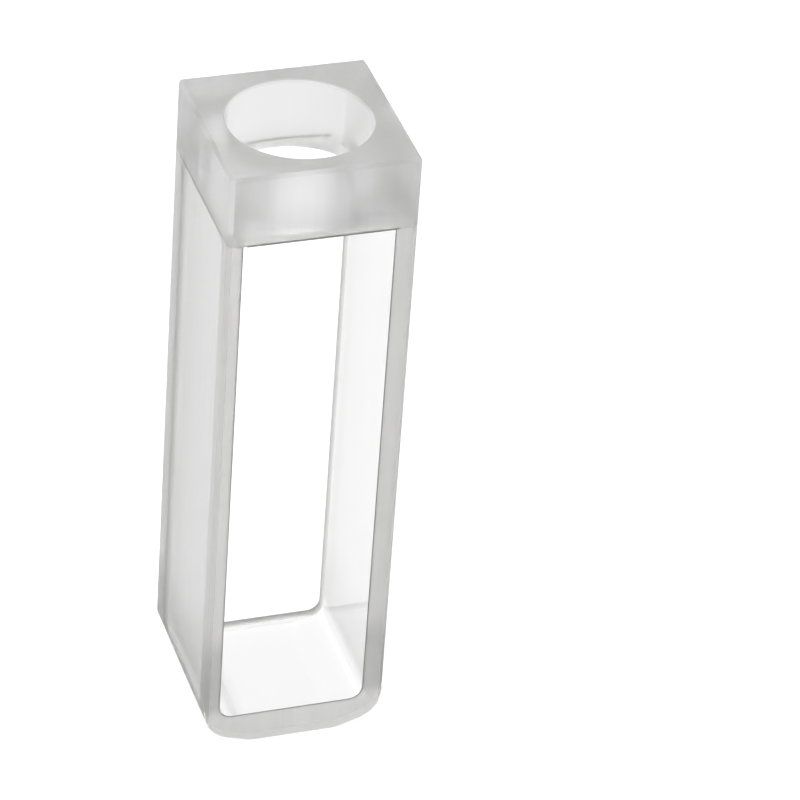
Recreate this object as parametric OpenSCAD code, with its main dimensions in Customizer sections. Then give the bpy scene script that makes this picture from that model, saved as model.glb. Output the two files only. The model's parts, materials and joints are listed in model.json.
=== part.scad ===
// Square fused-quartz cuvette cell, open at the top.
// Two clear window plates close the front and the back of a ground U-shaped frame,
// and a thick ground collar with a round bore caps them. All of it is fused into one solid.
// Units are millimetres. The origin is the centre of the base, +Z is up,
// and the front window faces -Y.

/* [Cell body] */
// Outside width, across the ground side walls
body_w = 12.5; // [11:0.1:25]
// Outside depth, across the window plates
body_d = 12.5; // [11:0.1:25]
// Height from the base to the top of the collar
body_h = 45; // [25:0.5:80]
// How far up each side the ground-off foot edge reaches
foot_h = 2.8; // [2.6:0.05:4]
// How far in along the base the ground-off foot edge reaches
foot_w = 3.6; // [2.6:0.05:4]
// Radius that blends the foot edge into the side and into the base
foot_r = 2.4; // [0.2:0.1:2.5]
// Chamfer on the four upright edges
edge_c = 0.3; // [0.1:0.05:0.8]
// Chamfer around the top face
top_c = 0.22; // [0.1:0.02:0.6]

/* [Sample chamber] */
// Thickness of each ground side wall
side_t = 1.25; // [0.8:0.05:3]
// Thickness of each clear window plate
window_t = 1.25; // [0.8:0.05:3]
// Thickness of the floor
floor_t = 1.7; // [0.8:0.1:10]
// Radius where the floor meets the side walls inside
chamber_r = 0.9; // [0.2:0.1:3]

/* [Collar] */
// Height of the collar, and so the length of its bore
collar_h = 5; // [2:0.1:15]
// Diameter of the bore that takes the stopper
bore_d = 9.3; // [5:0.1:9.4]
// Chamfer around the mouth of the bore
rim_c = 0.17; // [0.05:0.01:0.3]

/* [Hidden] */

// Smoothness of the rounded edges and of the bore
edge_fn = 64;
bore_fn = 128;
// How far a cutting shape runs past the face it opens
over = 1;

chamber_w = body_w - 2 * side_t;
chamber_d = body_d - 2 * window_t;
chamber_top = body_h - collar_h;
bore_r = bore_d / 2;

// From the outer corner to the straight stretch between the two blends of the foot edge
foot_rise = foot_h - foot_r;
foot_run = foot_w - foot_r;
foot_length = norm([foot_run, foot_rise]);
foot_out = foot_r * foot_rise / foot_length;
foot_down = foot_r * foot_run / foot_length;

// Upright outline whose lower corners are ground off and blended, standing on the X axis
module bevelled_foot(width, height) {
    polygon([
        [foot_w - width / 2, 0],
        [width / 2 - foot_w, 0],
        [width / 2 - foot_w + foot_out, foot_r - foot_down],
        [width / 2 - foot_r + foot_out, foot_h - foot_down],
        [width / 2, foot_h],
        [width / 2, height],
        [-width / 2, height],
        [-width / 2, foot_h],
        [foot_r - foot_out - width / 2, foot_h - foot_down],
        [foot_w - foot_out - width / 2, foot_r - foot_down]
    ]);
    for (side = [-1, 1]) {
        translate([side * (width / 2 - foot_r), foot_h])
            circle(r = foot_r, $fn = edge_fn);
        translate([side * (width / 2 - foot_w), foot_r])
            circle(r = foot_r, $fn = edge_fn);
    }
}

// Upright outline with two rounded lower corners, standing on the X axis
module rounded_foot(width, height, radius) {
    translate([-width / 2, radius])
        square([width, height - radius]);
    translate([radius - width / 2, 0])
        square([width - 2 * radius, height]);
    for (side = [-1, 1])
        translate([side * (width / 2 - radius), radius])
            circle(r = radius, $fn = edge_fn);
}

// Upright outline with two chamfered upper corners, standing on the X axis
module chamfered_top(width, height, chamfer) {
    polygon([
        [-width / 2, 0],
        [width / 2, 0],
        [width / 2, height - chamfer],
        [width / 2 - chamfer, height],
        [chamfer - width / 2, height],
        [-width / 2, height - chamfer]
    ]);
}

// Plan outline with four chamfered corners, centred on the origin
module chamfered_plan(width, depth, chamfer) {
    polygon([
        [chamfer - width / 2, -depth / 2],
        [width / 2 - chamfer, -depth / 2],
        [width / 2, chamfer - depth / 2],
        [width / 2, depth / 2 - chamfer],
        [width / 2 - chamfer, depth / 2],
        [chamfer - width / 2, depth / 2],
        [-width / 2, depth / 2 - chamfer],
        [-width / 2, chamfer - depth / 2]
    ]);
}

// Stands an upright outline in the XZ plane and extrudes it along Y, centred
module upright_along_y(depth) {
    rotate([90, 0, 0])
        linear_extrude(depth, center = true)
            children();
}

// The block that the chamber and the bore are cut from
module outer_block() {
    intersection() {
        linear_extrude(body_h)
            chamfered_plan(body_w, body_d, edge_c);
        upright_along_y(body_d)
            intersection() {
                bevelled_foot(body_w, body_h);
                chamfered_top(body_w, body_h, top_c);
            }
        rotate([0, 0, 90])
            upright_along_y(body_w)
                chamfered_top(body_d, body_h, top_c);
    }
}

// The square chamber between the windows, from the floor to the underside of the collar
module chamber() {
    translate([0, 0, floor_t])
        upright_along_y(chamber_d)
            rounded_foot(chamber_w, chamber_top - floor_t, chamber_r);
}

// The round bore through the collar, with its chamfered rim
module mouth() {
    translate([0, 0, chamber_top])
        cylinder(h = collar_h + over, r = bore_r, $fn = bore_fn);
    translate([0, 0, body_h - rim_c])
        cylinder(h = rim_c + over, r1 = bore_r, r2 = bore_r + rim_c + over, $fn = bore_fn);
}

// The whole cell: windows, frame and collar in one fused solid
module cell() {
    color([0.9, 0.92, 0.92, 0.6])
        difference() {
            outer_block();
            chamber();
            mouth();
        }
}

cell();
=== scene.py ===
import json
import math

import bmesh
import bpy
from mathutils import Matrix, Vector


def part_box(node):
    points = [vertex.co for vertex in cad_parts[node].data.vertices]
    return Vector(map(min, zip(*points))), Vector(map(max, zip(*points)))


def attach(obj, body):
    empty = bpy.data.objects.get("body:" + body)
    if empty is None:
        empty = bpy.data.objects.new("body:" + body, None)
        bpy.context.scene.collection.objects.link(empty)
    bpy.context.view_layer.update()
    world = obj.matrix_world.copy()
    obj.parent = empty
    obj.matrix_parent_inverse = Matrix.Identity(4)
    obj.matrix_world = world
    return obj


# A fused-quartz cuvette cell on a white light table. Lengths are metres.

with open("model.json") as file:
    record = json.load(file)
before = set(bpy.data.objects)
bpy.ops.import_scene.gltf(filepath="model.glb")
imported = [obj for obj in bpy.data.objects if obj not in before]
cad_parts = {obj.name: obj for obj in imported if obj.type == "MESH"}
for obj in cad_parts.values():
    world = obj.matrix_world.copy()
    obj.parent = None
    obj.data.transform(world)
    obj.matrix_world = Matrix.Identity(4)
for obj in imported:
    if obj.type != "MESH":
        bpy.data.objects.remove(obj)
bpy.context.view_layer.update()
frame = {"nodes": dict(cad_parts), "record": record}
low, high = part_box("cell")

# Sizes of the cell that its box doesn't tell
WALL = 0.00125  # the window plates and the side walls
FLOOR = 0.0017  # top of the chamber's floor
CHAMBER_RADIUS = 0.0009  # between the floor and the side walls
FOOT_WIDE = 0.0036  # the ground-off foot edge, along the base
FOOT_TALL = 0.0028  # the ground-off foot edge, up the side
FOOT_BLEND = 0.0024  # radius at both ends of that edge
EDGE_CHAMFER = 0.0003  # on the upright edges
CHAMBER_MARGIN = 0.0001  # from the record's chamber opening to the real walls
BORE_MARGIN = 0.0001  # from the bore to what counts as its wall

openings = {opening["name"]: opening["box_m"] for opening in frame["record"]["physics"]["openings"]}
mouth = next(mount for mount in frame["record"]["mounts"] if mount["name"] == "mouth")
collar_base = openings["chamber"][1][2] + CHAMBER_MARGIN
bore_limit = mouth["dims"]["r_mm"] / 1000 + BORE_MARGIN
half_chamber = high.x - WALL
wall_middle = high.x - WALL / 2
floor_middle = FLOOR / 2

# Quartz: how much light each surface lets through, and how matt it is
IOR = 1.458
POLISH_TINT = 1.0
INNER_ROUGH = 0.1
GROUND_TINT = 0.852
GROUND_ROUGH = 0.367
BASE_TINT = 0.9  # also on the ground-off foot edges
BASE_ROUGH = 0.41
COLLAR_TINT = 0.592
COLLAR_ROUGH = 0.411
BORE_TINT = 0.958
BORE_ROUGH = 0.315
BORE_LOW_SHADE = 0.784  # painted shade at the bottom of the bore
BORE_LOW_TALL = 0.0025  # height over which that shade fades out
FOOT_SHADE = 0.68  # painted shade at the foot of the side walls
FOOT_SHADE_LOW = 0.0035  # heights between which it fades out
FOOT_SHADE_HIGH = 0.0095
GRAIN_SCALE = 6000.0
GRAIN_DEPTH = 0.1  # range of roughness over the grain
STREAK_SCALE = 2500.0
STREAK_STRETCH = (1.0, 1.0, 0.04)
STREAK_DEPTH = 0.12  # range of brightness over the streaks

# The ground faces inside the glass: grey level, share lit from behind, share that is clear
FRONT_TONE = 0.975
FRONT_THROUGH = 0.5
FRONT_VEIL = 0.491
BACK_TONE = 0.967
BACK_THROUGH = 0.7
BACK_VEIL = 0.12
RING_TONE = 0.863
RING_THROUGH = 0.331
RING_VEIL = 0.524
LINING_TONE = 1.0
LINING_VEIL = 0.4
# grey level of the dark line round the chamber and of the painted shade at the collar's joint
LINE_TONE = 0.42
LINE_SPREAD = 0.2
WARM = 0.985  # blue against red and green in the ground faces
STRIP_SHADE = 0.8  # painted shade on the front ground face, just above the foot
STRIP_SHADE_LOW = 0.0065  # heights between which it fades out
STRIP_SHADE_HIGH = 0.009
FRAME_LINE = 0.00016  # width of the soft dark line round the front of the chamber
BACK_EDGE_SHADE = 0.6  # grey level of the painted shade on the back ground face at the chamber's edge
BACK_FADE = 0.001  # width over which that painted shade fades out
BACK_CLEAR = 0.9  # how clear that face is far below the floor
BACK_CLEAR_FROM = 0.0005  # distances below the floor between which it clears
BACK_CLEAR_TO = 0.0012
CLEAR_IN = 0.0045  # half the width over which it clears

# Thin pieces that show those faces
SEAM = 0.00002  # thickness of a seam
INSET = 0.000002  # from a seam's edge to the quartz's own faces
FOOT_INSET = 0.00001  # the same along the ground-off foot edges
JOINT_TALL = 0.00012  # height of the painted shade line under the collar
SEAM_CORNER = 0.00015  # chamfer at the collar seam's inner corners
ARC_STEPS = 8  # straight stretches in each arc
HAIR = 0.00001  # tolerance when a surface is told by its place

# Light table: reflecting share and glow, for each kind of ray
CAM_SHARE = 0.2  # seen directly
CAM_GLOW = 0.82
TRANS_SHARE = 0.047  # seen through the glass
TRANS_GLOW = 1.11
GLOSS_SHARE = 0.3  # seen in a reflection
GLOSS_GLOW = 0.0
PLAIN_SHARE = 0.8  # for all other rays
TABLE_SIZE = 4.0
TABLE_GAP = 0.00005  # keeps the table clear of the base
TABLE_MARKS = 40.0  # scale of the faint marks on it
TABLE_SPREAD = 0.02

# Sky and lamps
HORIZON = 1.169
ZENITH = 0.657
HORIZON_TO = 0.15  # sines of the elevations between which the sky changes
ZENITH_FROM = 0.6
WORLD_X = -0.227  # how much brighter the sky is towards +X and +Y
WORLD_Y = -0.028
DARKEST = 0.02  # the least that the sky gives
KEY = 5.653
KEY_SIZE = 0.5
KEY_X = -0.036
KEY_Y = 0.115
KEY_Z = 0.6
FILL = 1.648
FILL_SIZE = 0.5
FILL_X = -0.15
FILL_Y = -0.5
FILL_Z = 0.35
LAMP_TARGET = (0.0, 0.0, 0.02)
BOUNCES = 24

# Camera
AZIMUTH = -20.12
ELEVATION = 34.97
ROLL = 4.43
AIM = (0.00817, 0.0, 0.02203)
DISTANCE = 0.3018
LENS = 204.6
SENSOR = 36.0


class Graph:
    """Short calls for building one material's or one world's node tree."""

    def __init__(self, owner):
        owner.use_nodes = True
        self.tree = owner.node_tree
        self.tree.nodes.clear()

    def node(self, kind, **settings):
        made = self.tree.nodes.new(kind)
        for name, value in settings.items():
            setattr(made, name, value)
        return made

    def feed(self, socket, value):
        if isinstance(value, bpy.types.NodeSocket):
            self.tree.links.new(value, socket)
        else:
            socket.default_value = value

    def math(self, operation, first, second=0.0):
        made = self.node("ShaderNodeMath", operation=operation)
        self.feed(made.inputs[0], first)
        self.feed(made.inputs[1], second)
        return made.outputs[0]

    def blend(self, factor, first, second):
        made = self.node("ShaderNodeMix", data_type="FLOAT")
        self.feed(made.inputs[0], factor)
        self.feed(made.inputs[2], first)
        self.feed(made.inputs[3], second)
        return made.outputs[0]

    def ramp(self, value, start, end, first, last):
        """A smooth step from one level to another between two values."""
        made = self.node("ShaderNodeMapRange", clamp=True, interpolation_type="SMOOTHSTEP")
        for name, level in (("Value", value), ("From Min", start), ("From Max", end)):
            self.feed(made.inputs[name], level)
        self.feed(made.inputs["To Min"], first)
        self.feed(made.inputs["To Max"], last)
        return made.outputs[0]

    def length(self, first, second):
        squares = [self.math("MULTIPLY", side, side) for side in (first, second)]
        return self.math("SQRT", self.math("ADD", squares[0], squares[1]))

    def noise(self, place, scale):
        made = self.node("ShaderNodeTexNoise")
        self.feed(made.inputs["Vector"], place)
        made.inputs["Scale"].default_value = scale
        return made.outputs["Fac"]

    def streaks(self, place):
        """Faint upright grinding marks, as a factor near one."""
        stretch = self.node("ShaderNodeMapping")
        self.feed(stretch.inputs["Vector"], place)
        stretch.inputs["Scale"].default_value = STREAK_STRETCH
        marks = self.noise(stretch.outputs[0], STREAK_SCALE)
        return self.blend(marks, 1.0 - STREAK_DEPTH / 2, 1.0 + STREAK_DEPTH / 2)

    def grey(self, tone, blue=1.0):
        """A colour from one level, with its own share of blue."""
        colour = self.node("ShaderNodeCombineColor")
        self.feed(colour.inputs[0], tone)
        self.feed(colour.inputs[1], tone)
        self.feed(colour.inputs[2], self.math("MULTIPLY", tone, blue))
        return colour.outputs[0]

    def mix(self, factor, first, second):
        made = self.node("ShaderNodeMixShader")
        self.feed(made.inputs[0], factor)
        self.feed(made.inputs[1], first)
        self.feed(made.inputs[2], second)
        return made.outputs[0]

    def place(self):
        """The point on the cell, and its distances from the middle and from the base."""
        point = self.node("ShaderNodeTexCoord").outputs["Object"]
        split = self.node("ShaderNodeSeparateXYZ")
        self.feed(split.inputs[0], point)
        x = self.math("ABSOLUTE", split.outputs[0])
        y = self.math("ABSOLUTE", split.outputs[1])
        return point, x, y, split.outputs[2]

    def surface(self, shader):
        out = self.node("ShaderNodeOutputMaterial")
        self.feed(out.inputs["Surface"], shader)


def quartz_places(g, x, y, z):
    """One mask for each part of the cell's surface that looks different."""
    below_collar = g.math("LESS_THAN", z, collar_base - HAIR)
    collar = g.math("SUBTRACT", 1.0, below_collar)
    window = g.math("MULTIPLY", g.math("GREATER_THAN", y, high.y - HAIR), below_collar)
    inward = g.math("LESS_THAN", g.math("MAXIMUM", x, y), wall_middle)
    upper = g.math("MULTIPLY", below_collar, g.math("GREATER_THAN", z, floor_middle))
    chamber = g.math("MULTIPLY", inward, upper)
    return {
        "collar": collar,
        "clear": g.math("MAXIMUM", window, chamber),
        "frame": g.math("MULTIPLY", chamber, g.math("LESS_THAN", y, half_chamber - HAIR)),
        "bore": g.math("MULTIPLY", g.math("LESS_THAN", g.length(x, y), bore_limit), collar),
        "foot": g.ramp(z, FOOT_TALL / 2, FOOT_TALL, 1.0, 0.0),
    }


def quartz_roughness(g, places, point):
    """Matt with a fine grain, except where the cell is polished."""
    grain = g.noise(point, GRAIN_SCALE)
    matt = g.math("ADD", g.math("MULTIPLY", grain, GRAIN_DEPTH), GROUND_ROUGH - GRAIN_DEPTH / 2)
    matt = g.math("ADD", matt, g.math("MULTIPLY", places["foot"], BASE_ROUGH - GROUND_ROUGH))
    matt = g.math("ADD", matt, g.math("MULTIPLY", places["collar"], COLLAR_ROUGH - GROUND_ROUGH))
    polish = g.math("MULTIPLY", places["frame"], INNER_ROUGH)
    return g.blend(places["bore"], g.blend(places["clear"], matt, polish), BORE_ROUGH)


def quartz_tone(g, places, point, z):
    """Grey where it is ground, with painted shade at the foot of the walls and at the bottom of the bore.
    """
    tone = g.blend(places["collar"], GROUND_TINT, COLLAR_TINT)
    tone = g.math("MULTIPLY", tone, g.ramp(z, FOOT_SHADE_LOW, FOOT_SHADE_HIGH, FOOT_SHADE, 1.0))
    tone = g.math("MULTIPLY", tone, g.streaks(point))
    tone = g.blend(places["foot"], tone, BASE_TINT)
    bore_top = collar_base + BORE_LOW_TALL
    bore_tone = g.ramp(z, collar_base, bore_top, BORE_LOW_SHADE * BORE_TINT, BORE_TINT)
    tone = g.blend(places["bore"], tone, bore_tone)
    return g.blend(places["clear"], tone, POLISH_TINT)


def quartz_material():
    """Fused quartz: clear where it is polished, matt and translucent where it is ground."""
    material = bpy.data.materials.new("quartz")
    g = Graph(material)
    point, x, y, z = g.place()
    places = quartz_places(g, x, y, z)
    shader = g.node("ShaderNodeBsdfPrincipled")
    g.feed(shader.inputs["Base Color"], g.grey(quartz_tone(g, places, point, z)))
    shader.inputs["Transmission Weight"].default_value = 1.0
    shader.inputs["IOR"].default_value = IOR
    g.feed(shader.inputs["Roughness"], quartz_roughness(g, places, point))
    g.surface(shader.outputs[0])
    return material


def edge_distance(g, x, z):
    """How far a point of the frame's ground face is from the chamber's opening in it."""
    across = g.math("MAXIMUM", g.math("SUBTRACT", x, half_chamber - CHAMBER_RADIUS), 0.0)
    down = g.math("MAXIMUM", g.math("SUBTRACT", FLOOR + CHAMBER_RADIUS, z), 0.0)
    return g.math("SUBTRACT", g.length(across, down), CHAMBER_RADIUS)


def ground_face(name, tone, through_share, veil_share, shape=None):
    """A ground face inside the glass: part matt, part lit from behind, part clear."""
    material = bpy.data.materials.new(name)
    g = Graph(material)
    point, x, y, z = g.place()
    if shape:
        tone, veil_share = shape(g, x, z, tone, veil_share)
    colour = g.grey(g.math("MULTIPLY", tone, g.streaks(point)), WARM)
    matt = g.node("ShaderNodeBsdfDiffuse")
    g.feed(matt.inputs["Color"], colour)
    through = g.node("ShaderNodeBsdfTranslucent")
    g.feed(through.inputs["Color"], colour)
    clear = g.node("ShaderNodeBsdfTransparent")
    solid = g.mix(through_share, matt.outputs[0], through.outputs[0])
    g.surface(g.mix(veil_share, solid, clear.outputs[0]))
    return material


def front_shape(g, x, z, tone, veil_share):
    """Painted shade just above the foot, with a dark line round the chamber."""
    under = g.ramp(z, FLOOR, FOOT_TALL, 1.0, STRIP_SHADE)
    over = g.ramp(z, STRIP_SHADE_LOW, STRIP_SHADE_HIGH, STRIP_SHADE, 1.0)
    tone = g.math("MULTIPLY", g.math("MAXIMUM", under, over), tone)
    line = g.ramp(edge_distance(g, x, z), 0.0, FRAME_LINE, 1.0, 0.0)
    return g.blend(line, tone, LINE_TONE), g.blend(line, veil_share, 0.0)


def back_shape(g, x, z, tone, veil_share):
    """Painted shade, darkest round the chamber, and clearer towards the base."""
    away = edge_distance(g, x, z)
    tone = g.ramp(away, 0.0, BACK_FADE, BACK_EDGE_SHADE, tone)
    under = g.math("MULTIPLY", g.ramp(x, CLEAR_IN, half_chamber, 1.0, 0.0), g.math("LESS_THAN", z, FLOOR))
    clear = g.math("MULTIPLY", under, g.ramp(away, BACK_CLEAR_FROM, BACK_CLEAR_TO, 0.0, BACK_CLEAR))
    return tone, g.math("MAXIMUM", clear, veil_share)


def joint_shade_material():
    """Painted shade: a fine dark line where the collar meets the frame and the plates."""
    material = bpy.data.materials.new("joint_line")
    g = Graph(material)
    point = g.place()[0]
    spread = g.blend(g.noise(point, STREAK_SCALE), 1.0 - LINE_SPREAD, 1.0 + LINE_SPREAD)
    shader = g.node("ShaderNodeBsdfDiffuse")
    g.feed(shader.inputs["Color"], g.grey(g.math("MULTIPLY", spread, LINE_TONE)))
    g.surface(shader.outputs[0])
    return material


def arc(centre, radius, start, end, steps):
    """Points round part of a circle; the angle is zero to the right and grows downwards."""
    turns = [start + (end - start) * step / steps for step in range(steps + 1)]
    return [(centre[0] + radius * math.cos(turn), centre[1] - radius * math.sin(turn)) for turn in turns]


def foot_corner(inset):
    """The right foot corner: the ground-off edge and the arcs that blend it into the side and the base."""
    half_width = high.x - inset
    bottom = low.z + inset
    tilt = math.atan2(FOOT_WIDE - FOOT_BLEND, FOOT_TALL - FOOT_BLEND)
    upper = (half_width - FOOT_BLEND, bottom + FOOT_TALL)
    lower = (half_width - FOOT_WIDE, bottom + FOOT_BLEND)
    points = arc(upper, FOOT_BLEND, 0.0, tilt, ARC_STEPS)
    return points + arc(lower, FOOT_BLEND, tilt, math.pi / 2, ARC_STEPS)


def chamber_corner(half_width, bottom):
    """The right corner of the chamber: one arc, with as many points as the foot corner."""
    centre = (half_width - CHAMBER_RADIUS, bottom + CHAMBER_RADIUS)
    return arc(centre, CHAMBER_RADIUS, 0.0, math.pi / 2, 2 * ARC_STEPS + 1)


def mirrored(right):
    """A half outline down the right side, followed by its mirror image up the left side."""
    return right + [(-x, z) for x, z in reversed(right)]


def chamfered_outline(half, chamfer):
    """The eight corners of a chamfered square, counter-clockwise."""
    short = half - chamfer
    quarter = [(short, -half), (half, -short)]
    outline = []
    for turn in range(4):
        outline += quarter
        quarter = [(-y, x) for x, y in quarter]
    return outline


def add_piece(name, mesh, material):
    """A new object that rides on the cell's body and stands for part of its quartz."""
    data = bpy.data.meshes.new(name)
    mesh.to_mesh(data)
    mesh.free()
    data.materials.append(material)
    piece = bpy.data.objects.new(name, data)
    bpy.context.scene.collection.objects.link(piece)
    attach(piece, "root")


def band(name, outer, inner, closed, to_space, depth, material):
    """A solid of an even depth between two outlines that have as many points as each other."""
    mesh = bmesh.new()
    rings = []
    for offset in (-depth / 2, depth / 2):
        for outline in (outer, inner):
            rings.append([mesh.verts.new(to_space(u, v, offset)) for u, v in outline])
    count = len(outer)
    for first in range(count if closed else count - 1):
        second = (first + 1) % count
        for one, two in ((0, 1), (1, 3), (3, 2), (2, 0)):
            corners = rings[one][first], rings[one][second], rings[two][second], rings[two][first]
            mesh.faces.new(corners)
    if not closed:
        for end in (0, -1):
            mesh.faces.new([rings[ring][end] for ring in (0, 1, 3, 2)])
    bmesh.ops.recalc_face_normals(mesh, faces=mesh.faces)
    add_piece(name, mesh, material)


def build_plate_seams():
    """The frame's ground front and back, where the clear plates are fused to it."""
    top = collar_base - INSET
    outer = mirrored([(high.x - INSET, top)] + foot_corner(FOOT_INSET))
    half_width = half_chamber + INSET
    inner = mirrored([(half_width, top)] + chamber_corner(half_width, FLOOR - INSET))
    front = ground_face("front_seam", FRONT_TONE, FRONT_THROUGH, FRONT_VEIL, front_shape)
    back = ground_face("back_seam", BACK_TONE, BACK_THROUGH, BACK_VEIL, back_shape)
    band("front_seam", outer, inner, False, lambda u, v, w: (u, w - half_chamber, v), SEAM, front)
    band("back_seam", outer, inner, False, lambda u, v, w: (u, w + half_chamber, v), SEAM, back)


def build_foot_lining():
    """The ground underside of the front plate, which shows through the plate."""
    material = ground_face("foot_lining", LINING_TONE, FRONT_THROUGH, LINING_VEIL)
    outer = mirrored(foot_corner(FOOT_INSET))
    inner = mirrored(foot_corner(FOOT_INSET + SEAM))
    middle = (high.y + half_chamber) / 2
    depth = WALL - 2 * SEAM
    band("foot_lining", outer, inner, False, lambda u, v, w: (u, w - middle, v), depth, material)


def build_collar_seam():
    """The collar's ground underside, where it is fused to the frame and the plates."""
    material = ground_face("collar_seam", RING_TONE, RING_THROUGH, RING_VEIL)
    outer = chamfered_outline(high.x - INSET, EDGE_CHAMFER)
    inner = chamfered_outline(half_chamber + INSET, SEAM_CORNER)
    band("collar_seam", outer, inner, True, lambda u, v, w: (u, v, collar_base + w), SEAM, material)


def build_joint_shades():
    """A narrow bar of painted shade just inside each side face, at the collar's underside."""
    mesh = bmesh.new()
    size = Matrix.Diagonal((2 * half_chamber, SEAM, JOINT_TALL, 1.0))
    place = Matrix.Translation((0, INSET + SEAM / 2 - high.y, collar_base))
    for quarter in range(4):
        bar = bmesh.ops.create_cube(mesh, size=1.0)["verts"]
        turn = Matrix.Rotation(quarter * math.pi / 2, 4, "Z")
        bmesh.ops.transform(mesh, matrix=turn @ place @ size, verts=bar)
    add_piece("joint_line", mesh, joint_shade_material())


def table_material():
    """A light table that stays white behind the glass and keeps a soft shadow."""
    material = bpy.data.materials.new("table")
    g = Graph(material)
    path = g.node("ShaderNodeLightPath")
    spread = g.blend(g.noise(g.place()[0], TABLE_MARKS), 1.0 - TABLE_SPREAD, 1.0 + TABLE_SPREAD)

    def lit(share, glow):
        plain = g.node("ShaderNodeBsdfDiffuse")
        g.feed(plain.inputs["Color"], g.grey(g.math("MULTIPLY", spread, share)))
        light = g.node("ShaderNodeEmission")
        light.inputs["Strength"].default_value = glow
        both = g.node("ShaderNodeAddShader")
        g.feed(both.inputs[0], plain.outputs[0])
        g.feed(both.inputs[1], light.outputs[0])
        return both.outputs[0]

    shade = g.mix(path.outputs["Is Camera Ray"], lit(PLAIN_SHARE, 0.0), lit(CAM_SHARE, CAM_GLOW))
    shade = g.mix(path.outputs["Is Glossy Ray"], shade, lit(GLOSS_SHARE, GLOSS_GLOW))
    g.surface(g.mix(path.outputs["Is Transmission Ray"], shade, lit(TRANS_SHARE, TRANS_GLOW)))
    return material


def build_table():
    bpy.ops.mesh.primitive_plane_add(size=TABLE_SIZE, location=(0, 0, low.z - TABLE_GAP))
    table = bpy.context.object
    table.name = "table"
    table.data.materials.append(table_material())


def build_world():
    """A pale sky that is brighter near the horizon and on the left; the camera sees plain white."""
    world = bpy.data.worlds.new("studio")
    bpy.context.scene.world = world
    g = Graph(world)
    split = g.node("ShaderNodeSeparateXYZ")
    g.feed(split.inputs[0], g.node("ShaderNodeTexCoord").outputs["Generated"])
    level = g.node("ShaderNodeMapRange", clamp=True)
    g.feed(level.inputs["Value"], split.outputs[2])
    level.inputs["From Min"].default_value = HORIZON_TO
    level.inputs["From Max"].default_value = ZENITH_FROM
    level.inputs["To Min"].default_value = HORIZON
    level.inputs["To Max"].default_value = ZENITH
    sideways = g.math("MULTIPLY", split.outputs[0], WORLD_X)
    slope = g.math("ADD", sideways, g.math("MULTIPLY", split.outputs[1], WORLD_Y))
    strength = g.math("MAXIMUM", g.math("ADD", level.outputs[0], slope), DARKEST)
    strength = g.blend(g.node("ShaderNodeLightPath").outputs["Is Camera Ray"], strength, 1.0)
    back = g.node("ShaderNodeBackground")
    back.inputs["Color"].default_value = (1.0, 1.0, 1.0, 1.0)
    g.feed(back.inputs["Strength"], strength)
    out = g.node("ShaderNodeOutputWorld")
    g.feed(out.inputs["Surface"], back.outputs[0])


def area_lamp(name, place, size, power):
    data = bpy.data.lights.new(name, "AREA")
    data.energy = power
    data.size = size
    lamp = bpy.data.objects.new(name, data)
    lamp.location = place
    lamp.rotation_mode = "QUATERNION"
    lamp.rotation_quaternion = (Vector(LAMP_TARGET) - lamp.location).to_track_quat("-Z", "Y")
    bpy.context.scene.collection.objects.link(lamp)


def build_camera():
    azimuth, elevation, roll = (math.radians(angle) for angle in (AZIMUTH, ELEVATION, ROLL))
    level = math.cos(elevation)
    back = Vector((math.sin(azimuth) * level, -math.cos(azimuth) * level, math.sin(elevation)))
    data = bpy.data.cameras.new("camera")
    data.sensor_width = SENSOR
    data.lens = LENS
    camera = bpy.data.objects.new("camera", data)
    place = Matrix.Translation(Vector(AIM) + back * DISTANCE)
    look = (-back).to_track_quat("-Z", "Y").to_matrix().to_4x4()
    camera.matrix_world = place @ look @ Matrix.Rotation(roll, 4, "Z")
    bpy.context.scene.collection.objects.link(camera)
    bpy.context.scene.camera = camera


def set_bounces():
    """Glass needs long light paths."""
    for kind in ("max_bounces", "diffuse_bounces", "glossy_bounces", "transmission_bounces"):
        setattr(bpy.context.scene.cycles, kind, BOUNCES)
    bpy.context.scene.cycles.transparent_max_bounces = BOUNCES


quartz = quartz_material()
for slot in frame["nodes"]["cell"].material_slots:
    slot.material = quartz
build_plate_seams()
build_foot_lining()
build_joint_shades()
build_collar_seam()
build_table()
build_world()
area_lamp("key", (KEY_X, KEY_Y, KEY_Z), KEY_SIZE, KEY)
area_lamp("fill", (FILL_X, FILL_Y, FILL_Z), FILL_SIZE, FILL)
build_camera()
set_bounces()
bpy.context.scene.view_settings.view_transform = "Standard"
